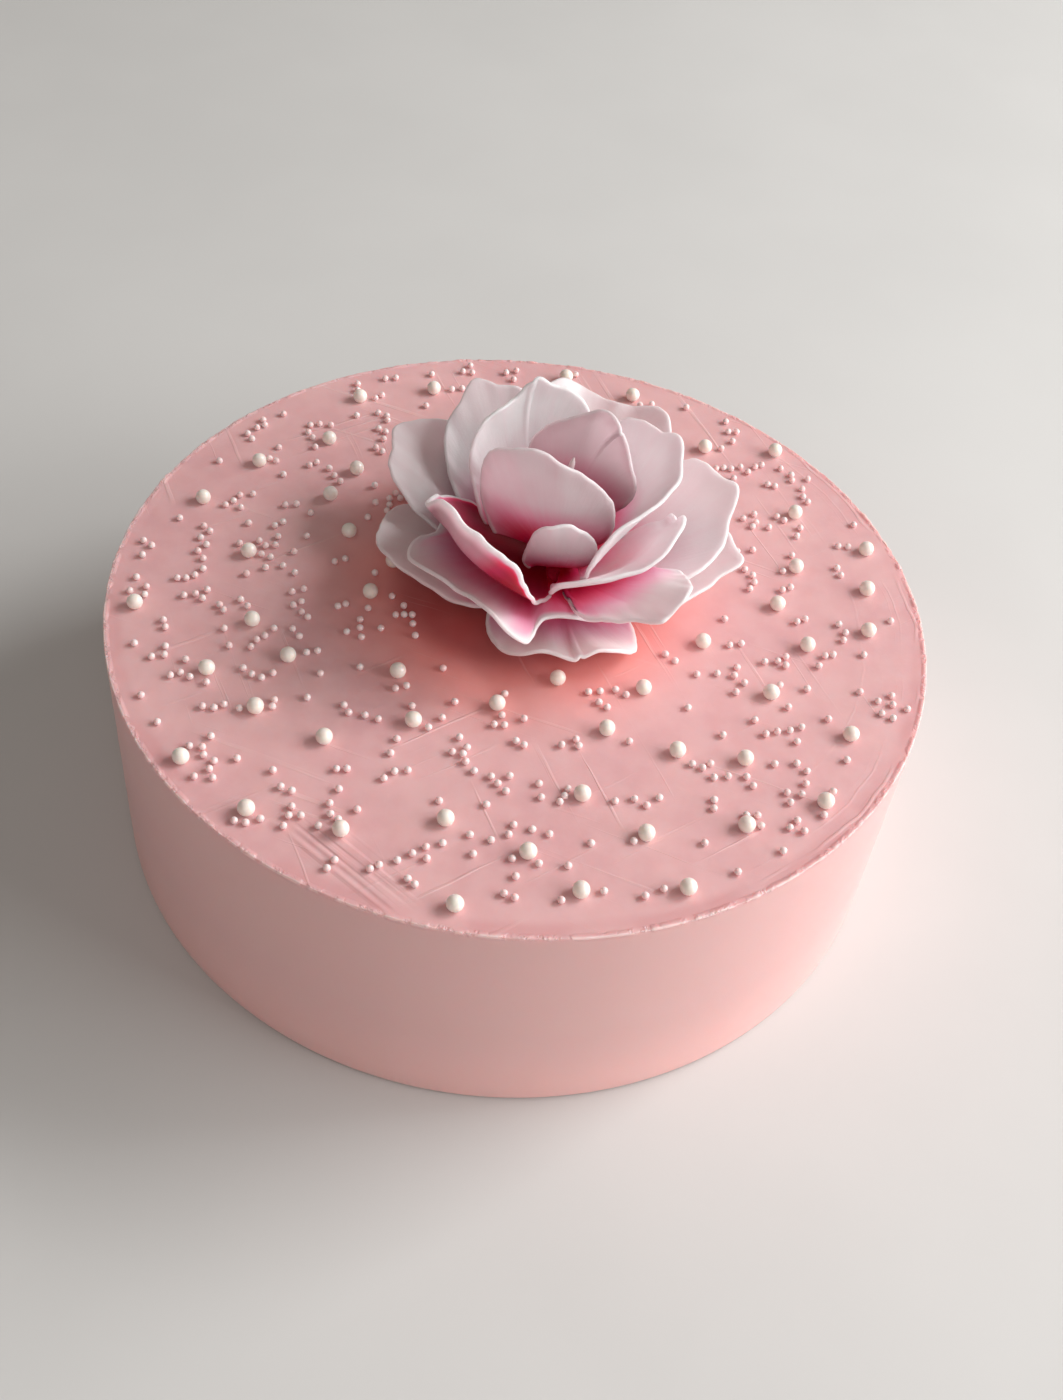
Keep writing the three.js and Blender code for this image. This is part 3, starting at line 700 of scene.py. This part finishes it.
petals = dict(
    petal_outer_back_left=dict(turn=215, out=9, up=3, length=48, width=50, rise=(4, 27, 15), cupRadius=88,
                               tilt=0.06, scallop=(0.03, 0), curl=(0, 1), wave=(1.5, 3, 2), dust=(0.6, 0.5)),
    petal_outer_back=dict(turn=168, out=9, up=3.7, length=62, width=56, rise=(9, 39, 3), cupRadius=40,
                          gutter=0.27, gutterAt=0.03, tilt=0.06, dip=(0.07, -0.04, 0.18), fold=(0.9, -0.04),
                          scallop=(0.072, -1), curl=(-2.6, 0.4), wave=(1.2, 3, 2), dust=(0.55, 0.5), paintedLight=0.95),
    petal_outer_right=dict(turn=76, out=9, up=2.5, length=49, width=52, rise=(4, 37, 24), cupRadius=165,
                           lean=0.11, tilt=-0.055, dip=(-0.16, -0.02, 0.076), fold=(-1.1, -0.02),
                           scallop=(0.028, 0.8), wave=(1, 3, 0), dust=(0.75, 0.5)),
    petal_outer_left=dict(turn=-81, out=9, up=1.8, length=51, width=44, rise=(-1, 35, 13), cupRadius=127,
                          tilt=0.1, dip=(0.05, 0, 0.16), fold=(0.3, 0), scallop=(0.048, 0), curl=(-0.4, -1.3),
                          wave=(1.2, 2.5, 1), dust=(0.7, 0.5), paintedLight=0.94),
    petal_outer_front=dict(turn=7, out=9, up=2.6, length=43, width=47, rise=(-1, 8, 41), cupRadius=-103,
                           gutter=-0.07, gutterAt=-0.08, lean=0.07, tilt=0.03, fold=(-3.7, 0),
                           scallop=(0.028, -1.5), curl=(-0.5, -1), wave=(0.8, 3, 0.5), dust=(0.86, 0.5), paintedLight=1.16,
                           pleats=((0.9, 0.02, 0.1),)),
    petal_second_right=dict(turn=88, out=8, up=5, length=51, width=59, rise=(7, 43, 28), cupRadius=50,
                            gutter=0.14, lean=0.12, tilt=0.1, dip=(-0.17, 0.07, 0.08), scallop=(0.021, -1.1),
                            wave=(1.2, 3, 1), dust=(0.52, 0.5), paintedLight=1.08),
    petal_second_left=dict(turn=-115, out=8, up=5, length=57, width=43, rise=(10, 35, 17), cupRadius=45,
                           gutter=0.03, lean=-0.05, tilt=-0.045, dip=(-0.14, -0.04, 0.12), fold=(0.25, -0.04),
                           scallop=(0.046, -2), curl=(4.5, 2.1), wave=(0.8, 3, 0), dust=(0.7, 0.5), paintedLight=0.78),
    petal_second_back=dict(turn=168, out=7.6, up=6.3, length=42.8, width=41, rise=(15, 34, 43), cupRadius=30.6,
                           lean=-0.06, tilt=0.14, dip=(0.05, 0.11, 0.16), fold=(0.8, 0.11), scallop=(0.05, 1),
                           wave=(0.8, 3, 1), dust=(0.5, 0.35)),
    petal_second_front_left=dict(turn=-45, out=8.5, up=6.2, length=50, width=61, rise=(28, 1, 46),
                                 cupRadius=-125, gutter=0.45, gutterAt=-0.44, lean=0.29, tilt=-0.26,
                                 dip=(-0.2, 1, 0.14), fold=(-5.4, 1), scallop=(0.18, -1.7), curl=(6.1, 14.1),
                                 lip=2, wave=(0.5, 3, 0), dust=(1.0, 0.6), paintedLight=1.08,
                                 innerStop=0.88, innerStreaks=((0.42, 0.14, 0.3),)),
    petal_second_front_right=dict(turn=40, out=8.5, up=7.3, length=61, width=32.5, rise=(16, 45, 39),
                                  cupRadius=260, gutter=-0.1, lean=-0.07, tilt=0.17, dip=(-0.13, -0.21, 0.07),
                                  fold=(-2, -0.21), scallop=(0.078, 1.2), curl=(3.2, 0.6), lip=2,
                                  wave=(0.5, 3, 0), dust=(0.84, 0.6), paintedLight=1.1, innerStop=0.85),
    petal_third_left=dict(turn=-138, out=6.5, up=8.1, length=53.5, width=39, rise=(8, 51, 30), cupRadius=37,
                          gutter=-0.02, lean=-0.11, tilt=-0.3, dip=(-0.19, 0.01, 0.11), fold=(0.7, 0.01),
                          scallop=(0.046, -1.4), curl=(0, -0.8), wave=(0.6, 3, 0), dust=(0.7, 0.6), paintedLight=0.86),
    # its outer dust reaches far: crimson dust low down, and partly painted shade where that face is turned away
    # from the light
    petal_third_front_left=dict(turn=-54, out=7, up=9.5, length=60.5, width=55, rise=(12, 41, 82), cupRadius=56,
                                gutter=-0.03, lean=0.34, tilt=-0.05, dip=(-0.13, -0.22, 0.1),
                                fold=(1.9, -0.22), scallop=(0.03, -2.8), curl=(2.2, 0.2), wave=(0.3, 3, 0),
                                dust=(1.3, 1.05), paintedLight=0.47, rimPaintedLight=1.05, innerStop=0.96, outerStop=0.97,
                                outerStreaks=((0.5, 0.2, 4.0),)),
    petal_third_front_right=dict(turn=46, out=7, up=9, length=45.5, width=55, rise=(13, 49, 68), cupRadius=36,
                                 gutter=0.09, gutterAt=-0.06, lean=0.07, tilt=0.07, dip=(0.06, 0, 0.16),
                                 fold=(-0.3, 0), scallop=(0.098, 0.15), curl=(3.8, 1.1), lip=4,
                                 wave=(0.3, 3, 0), dust=(0.38, 0.7), paintedLight=1.16, innerStop=0.6,
                                 innerStreaks=((-0.8, 0.4, 1.8),), span=(0.72, 1)),
    petal_third_right=dict(turn=92, out=6.5, up=10.3, length=45, width=68, rise=(31, 65, 53), cupRadius=40,
                           gutter=0.19, gutterAt=-0.03, lean=0.07, tilt=-0.12, dip=(-0.16, 0.1, 0.067),
                           fold=(0.5, 0.1), curl=(3, -0.5), belly=2, wave=(0.6, 3, 0), dust=(0.7, 0.6)),
    petal_inner_back_left=dict(turn=-149, out=5, up=12.8, length=49, width=46, rise=(27, 55, 97), cupRadius=50,
                               gutter=0.2, lean=-0.05, tilt=-0.05, dip=(-0.18, -0.01, 0.08),
                               fold=(-0.8, -0.01), scallop=(-0.073, 0.75), curl=(0, -3.8), wave=(0.6, 3, 0),
                               dust=(0.62, 0.6), paintedLight=1.06, pleats=((0.8, 0.01, 0.03),)),
    petal_inner_back_right=dict(turn=163, out=4, up=14.6, claw=3, length=44, width=36, rise=(39, 78, 101),
                                cupRadius=32, gutter=0.13, lean=-0.19, tilt=-0.19, dip=(-0.065, 0.05, 0.15),
                                fold=(-1.3, 0.05), scallop=(0.077, 2.15), curl=(-1.2, 0.7), wave=(0.6, 3, 0),
                                dust=(0.62, 0.6), paintedLight=0.76, pleats=((0.8, -0.12, 0.1),)),
    petal_inner_small=dict(turn=5, out=9, up=11.4, claw=4, length=35.6, width=22.2, rise=(27.6, 76.8, 75.4),
                           cupRadius=28, gutter=-0.2, lean=-0.044, tilt=-0.06, dip=(-0.08, 0.08, 0.13),
                           fold=(0.5, 0.08), scallop=(0.06, -2.3), curl=(-1.3, 1), wave=(0.3, 3, 0),
                           dust=(0.9, 0.66), paintedLight=1.14),
    petal_inner_front=dict(turn=-17, out=5, up=12, claw=3, length=53.7, width=42.8, rise=(61, 64.5, 85.4),
                           cupRadius=36, gutter=0.215, lean=-0.095, tilt=0.158, dip=(-0.06, 0.08, 0.11),
                           fold=(1.5, 0.08), scallop=(-0.01, 0), curl=(-4.2, 2.7), wave=(0.6, 3, 0),
                           dust=(0.7, 0.62), paintedLight=0.76, outerStreaks=((-1, 0.3, -0.15),)),
)


def middleLine(petal, y):
    # Along the claw's line the slope is (1-q)^2 claw + 2q(1-q) half + q^2 rim, q being the share of the length.
    # Distance from the axis and height are the sums of its cosine and sine.
    length = petal["length"]
    q = np.linspace(0, 1.3, 121)
    claw, half, rim = np.radians(petal["rise"])
    slope = (1 - q) ** 2 * claw + 2 * q * (1 - q) * half + q * q * rim
    step = q[1] * length

    def summed(values):
        return np.concatenate([[0], np.cumsum((values[1:] + values[:-1]) / 2 * step)])

    radius = petal["out"] + summed(np.cos(slope))
    height = petal["up"] + summed(np.sin(slope))
    return tuple(np.interp(y, q * length, line) for line in (radius, height, slope))


def fanPoint(petal, s, t, phases=(0, 0, 0)):
    # The petal laid flat. s goes from -1 to 1 across it and t from 0 at the claw to 1 at the rim, which runs
    # round an ellipse with scallops, a dip and small nicks that are deeper the longer the petal is.
    dip, dipAt, dipWidth = petal.get("dip", (0, 0, 1))
    scallop, scallopPhase = petal.get("scallop", (0, 0))
    tau = s * math.radians(paste["fanHalfAngle"])
    edge = 1 + scallop * np.sin(paste["scallopTurns"] * tau + scallopPhase)
    edge = edge - dip * np.exp(-((s - dipAt) / dipWidth) ** 2)
    nicks = np.sin(13 * tau + phases[0]) * np.sin(5 * tau + phases[1]) + 0.7 * np.sin(29 * tau + phases[2])
    edge = edge + paste["nick"] * nicks * petal["length"] * t ** 6
    x = petal.get("claw", paste["clawHalfWidth"]) * s * (1 - t) + petal["width"] / 2 * np.sin(tau) * edge * t
    y = petal["length"] / 2 * (1 + np.cos(tau) * edge) * t
    return x, y


def brushed(petal, s, t, reach, stop, streaks):
    # How much colour the brush left: 1 at the claw and 0 past the reach, counted in petal lengths on the flat fan.
    # It reaches further along a streak, given as (s, width, extra), and fades from stop on to the pale rim.
    x, y = fanPoint(petal, s, t)
    for at, width, extra in streaks:
        reach = reach * (1 + extra * np.exp(-((s - at) / width) ** 2))
    way = np.hypot(0.8 * x, y) / petal["length"]
    return np.clip(1 - way / reach, 0, 1) ** 1.1 * (1 - ease(t, stop, 1))


def petalSurface(petal, s, t, seed):
    # The flat fan point (x, y) is carried y along the middle line and x across the cup, and then lifted off it
    length, width = petal["length"], petal["width"]
    fold, foldAt = petal.get("fold", (0, 0))
    curlLeft, curlRight = petal.get("curl", (0, 0))
    wave, waveCount, wavePhase = petal["wave"]
    tau = s * math.radians(paste["fanHalfAngle"])
    phases = np.random.RandomState(seed).uniform(0, 2 * math.pi, 9)
    x, y = fanPoint(petal, s, t, phases[6:])
    q = y / length
    x = x + petal.get("lean", 0) * q * q * length
    radius, height, slope = middleLine(petal, y)
    bend = (0.35 + 0.65 * q) / petal["cupRadius"]
    gutter = petal.get("gutter", 0) * np.clip(q, 0, 1)
    fromGutter = x - petal.get("gutterAt", 0) * width / 2 * q
    side = np.sin(bend * x) / bend / np.sqrt(1 + 0.8 * gutter ** 2)
    foot = paste["gutterFoot"]
    lift = (1 - np.cos(bend * x)) / bend + gutter * (np.hypot(fromGutter, foot) - foot)
    lift = lift + np.where(s < 0, curlLeft, curlRight) * np.abs(s) ** 3 * t ** 2
    lift = lift + wave * t ** 4 * np.sin(waveCount * tau + wavePhase)
    lift = lift - petal.get("lip", 0) * ease(t, paste["rollFrom"], 1) ** 1.3 + petal.get("tilt", 0) * x * q
    lift = lift + fold * t ** 2 * np.exp(-((s - foldAt) / paste["foldWidth"]) ** 2)
    lift = lift + petal.get("belly", 0) * 4 * t * (1 - t)
    # pleats: a sharp step up that dies away to one side
    for depth, at, drift in petal.get("pleats", ()):
        past = s - at - drift * (1 - t)
        step = ease(past, -paste["pleatEdge"], paste["pleatEdge"])
        step = step * np.exp(-np.maximum(past, 0) / paste["pleatWidth"])
        lift = lift + depth * (0.5 * step + np.exp(-(past / paste["pleatEdge"]) ** 2)) * ease(t, 0.4, 0.9)
    # hand work: a small frill on the rim, least on small petals, and a slow unevenness over the face
    frill = np.sin(9 * tau + phases[0]) + 0.6 * np.sin(17 * tau + phases[1])
    lift = lift + paste["frill"] * length ** 2 * t ** 9 * frill
    slow = np.sin(x / 6.5 + phases[2]) * np.sin(y / 8 + phases[3]) + 0.5 * np.sin(x / 3.4 + y / 9 + phases[4])
    lift = lift + paste["unevenness"] * slow * ease(t, 0.15, 0.6) * 0.5
    outward = radius - lift * np.sin(slope)
    turn = math.radians(petal["turn"])
    return np.stack([flower["x"] + outward * math.sin(turn) + side * math.cos(turn),
                     flower["y"] - outward * math.cos(turn) + side * math.sin(turn),
                     cake["height"] + height + lift * np.cos(slope)], -1)


def unit(vectors):
    # Each vector divided by its length
    return vectors / (np.linalg.norm(vectors, axis=-1, keepdims=True) + 1e-12)


def addPetal(node, petal, seed, material):
    # Two faces half a thickness off the middle surface, joined round the rim by a half round bead. Rows of
    # points lie closer together towards the rim, where the paste is thickest.
    across, along = paste["across"], paste["along"]
    spanLeft, spanRight = petal.get("span", (1, 1))
    s = np.linspace(-spanLeft, spanRight, across)[None] * np.ones((along, 1))
    t = (1 - (1 - np.linspace(0, 1, along)) ** paste["crowding"])[:, None] * np.ones((1, across))
    surface = petalSurface(petal, s, t, seed)
    alongS, alongT = np.gradient(surface, axis=1), np.gradient(surface, axis=0)
    normal = unit(np.cross(alongT, alongS))    # towards the flower's middle
    thickness = paste["thinnest"] + (paste["rimBead"] - paste["thinnest"]) * ease(t, 0.85, 1)
    thickness = paste["thickness"] * thickness
    half = (thickness / 2)[..., None] * normal
    grid = np.arange(along * across).reshape(along, across)
    border = np.concatenate([grid[0, :-1], grid[:-1, -1], grid[-1, :0:-1], grid[:0:-1, 0]])
    flatPoints, flatNormal = surface.reshape(-1, 3), normal.reshape(-1, 3)
    loop, loopNormal = flatPoints[border], flatNormal[border]
    forward = unit(np.roll(loop, -1, 0) - np.roll(loop, 1, 0))
    outward = unit(np.cross(loopNormal, forward))
    outward = outward * np.sign(np.sum(outward * (loop - flatPoints.mean(0)), -1).sum())
    loopHalf = thickness.reshape(-1)[border][:, None] / 2
    turns = np.linspace(math.pi / 2, -math.pi / 2, paste["rimSteps"] + 1)[1:-1]
    bead = [loop + loopHalf * (math.cos(a) * outward + math.sin(a) * loopNormal) for a in turns]
    points = np.concatenate([flatPoints + half.reshape(-1, 3), flatPoints - half.reshape(-1, 3)] + bead)

    size = along * across
    a, b, c, d = grid[:-1, :-1].ravel(), grid[:-1, 1:].ravel(), grid[1:, 1:].ravel(), grid[1:, :-1].ravel()
    faces = [np.stack([a, d, c, b], 1), np.stack([a, b, c, d], 1) + size]
    rings = [border] + [2 * size + k * len(border) + np.arange(len(border)) for k in range(len(turns))]
    rings.append(border + size)
    for ring, following in zip(rings[:-1], rings[1:]):
        faces.append(quads(np.append(ring, ring[0]), np.append(following, following[0])))
    piece = addMesh(node.replace("petal_", "") + "_petal", points, np.concatenate(faces).tolist(), material)

    # where each point lies on the fan, with a third number that sets each petal's streaks apart, and how much
    # colour the brush left there
    inner, outer = petal["dust"]
    flatS, flatT = s.ravel(), t.ravel()
    dustInner, dustOuter = (
        brushed(petal, flatS, flatT, reach, petal.get(face + "Stop", paste["dustStop"]),
                petal.get(face + "Streaks", ()))
        for reach, face in ((inner, "inner"), (outer, "outer")))
    beadS, beadT = np.tile(flatS[border], len(turns)), np.tile(flatT[border], len(turns))
    beadDust = np.tile((dustInner[border] + dustOuter[border]) / 2, len(turns))
    fan = np.column_stack([np.concatenate([flatS, flatS, beadS]), np.concatenate([flatT, flatT, beadT]),
                           np.full(2 * size + len(beadS), seed * 0.37)])
    attribute = piece.data.attributes.new("fan", "FLOAT_VECTOR", "POINT")
    attribute.data.foreach_set("vector", fan.astype(np.float32).ravel())
    dust = np.concatenate([dustInner, dustOuter, beadDust])
    # painted light and shade for each point, lighter or darker as the light falls on the petal, with its own value
    # at the rim
    paintedLight = petal.get("paintedLight", 1)
    paintedLight = paintedLight + (petal.get("rimPaintedLight", paintedLight) - paintedLight) * ease(fan[:, 1], 0.9, 1)
    for name, values in (("dust", dust), ("paintedLight", paintedLight)):
        attribute = piece.data.attributes.new(name, "FLOAT", "POINT")
        attribute.data.foreach_set("value", values.astype(np.float32))
    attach(piece, "root")
    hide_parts(node)


petalPaste = makePetalPaste()
for number, (node, petal) in enumerate(petals.items()):
    addPetal(node, petal, number, petalPaste)
print("petals:", len(petals))


# heart and thread
heart = dict(profile=((0, 0.35), (8, 0.35), (8, 3), (7.2, 6), (5.8, 9.3), (4, 12.3), (1.9, 14.6), (0, 15.4)),
             inset=0.3, around=64, along=60, roughness=0.25)


def addHeart(material):
    # The dome's profile, smoothed, carried round the flower's axis with small dimples in it
    profile = np.array(heart["profile"])
    steps = np.concatenate([[0], np.cumsum(np.linalg.norm(np.diff(profile, axis=0), axis=1))])
    at = np.linspace(0, steps[-1], heart["along"])
    r, z = (np.interp(at, steps, profile[:, k]) for k in (0, 1))
    for _ in range(3):
        r[1:-1], z[1:-1] = (r[:-2] + 2 * r[1:-1] + r[2:]) / 4, (z[:-2] + 2 * z[1:-1] + z[2:]) / 4
    angle = np.arange(heart["around"]) * 2 * math.pi / heart["around"]
    dimple = heart["roughness"] * np.sin(6 * angle[None] + z[:, None] * 1.3) * np.sin(z[:, None] * 2.1)
    radius = np.maximum(r[:, None] - heart["inset"] + dimple, 0)[1:-1]
    points = np.stack([flower["x"] + radius * np.cos(angle), flower["y"] + radius * np.sin(angle),
                       cake["height"] + z[1:-1, None] + 0 * radius], -1).reshape(-1, 3)
    ends = [(flower["x"], flower["y"], cake["height"] + z[k]) for k in (0, -1)]
    points = np.concatenate([points, ends])
    piece = addMesh("heart", points, ringFaces(len(r) - 2, len(angle)), material)
    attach(piece, "root")
    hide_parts("flower_heart")


thread = dict(points=((0, 0, 15.5), (0.2, 0.5, 24), (0.9, 1.6, 34), (2.4, 3, 44.6)), radius=1, tip=0.95,
              dome=0.15, around=16, along=50)


def addThread(material):
    # A round section carried up a smooth route, thinner towards its rounded tip
    route = np.array(thread["points"], float)
    spread = np.linspace(0, len(route) - 1, thread["along"])
    bends = np.polyfit(np.arange(len(route)), route, 3)
    line = np.stack([np.polyval(bends[:, k], spread) for k in range(3)], -1)
    line = line + np.array((flower["x"], flower["y"], cake["height"]))
    ahead = unit(np.gradient(line, axis=0))
    across = unit(np.cross(ahead, (0, 1, 0)))
    other = np.cross(ahead, across)
    share = spread / spread[-1]
    radius = thread["radius"] + (thread["tip"] - thread["radius"]) * share
    radius = radius * np.sqrt(1 - ease(share, 0.93, 1.0) * 0.9)
    angle = np.arange(thread["around"]) * 2 * math.pi / thread["around"]
    section = np.cos(angle)[None, :, None] * across[:, None] + np.sin(angle)[None, :, None] * other[:, None]
    points = (line[:, None] + radius[:, None, None] * section).reshape(-1, 3)
    points = np.concatenate([points, [line[0], line[-1] + thread["dome"] * ahead[-1]]])
    piece = addMesh("thread", points, ringFaces(len(line), len(angle)), material)
    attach(piece, "root")
    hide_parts("stamen")


addHeart(makePatchy("crimson heart paste", heartFinish))
addThread(makeStamenPaste())
print("heart and thread")
